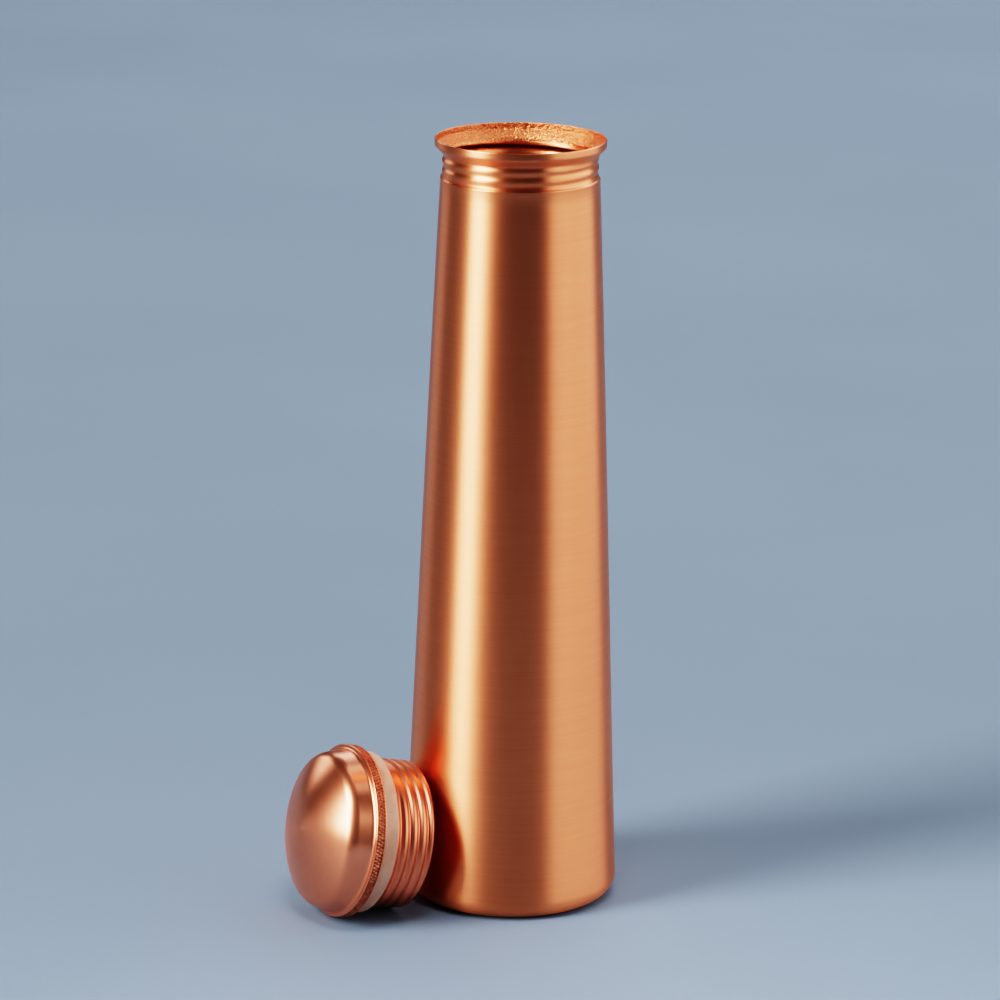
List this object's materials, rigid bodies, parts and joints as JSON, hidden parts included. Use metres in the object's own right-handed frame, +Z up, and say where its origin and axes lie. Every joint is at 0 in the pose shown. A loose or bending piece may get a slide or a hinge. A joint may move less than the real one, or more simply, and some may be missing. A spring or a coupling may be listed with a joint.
{
  "type": "water bottle",
  "caption": "Tall tapering spun-copper water bottle with a flared, thread-rolled neck; its domed screw lid with silicone washer lies beside it.",
  "frame": {"origin": "centre of the bottle's foot, on the ground it stands on", "axes": "+Z up the bottle's axis towards the mouth; the lid lies on the same ground, on the -X -Y side"},
  "size_m": [0.121, 0.0971, 0.28],
  "materials": {
    "brushed_copper": "copper sheet, spun, then brushed round and round to a satin, lacquered",
    "satin_copper": "copper sheet, pressed and satin finished; knurled band on the rim",
    "braze": "braze metal, as it flowed",
    "silicone": "translucent beige silicone, moulded, matt"
  },
  "bodies": {
    "bottle": {"body_shell": "brushed_copper", "base_plate": "brushed_copper", "base_braze": "braze"},
    "washer": {"lid_gasket": "silicone"},
    "lid": {"lid_dome": "satin_copper", "lid_plug": "satin_copper"}
  },
  "joints": [
    {"name": "lid_carry", "type": "hinge", "parent": "bottle", "child": "washer", "pos_m": [0.15838, 0.07725, 0.16259], "axis": [-0.4384, 0.8988, 0], "range_deg": [0, 78.84]},
    {"name": "lid_turn", "type": "hinge", "parent": "washer", "child": "lid", "pos_m": [-0.05869, -0.02863, 0.03061], "axis": [-0.8818, -0.4301, 0.1935], "continuous": true}
  ]
}
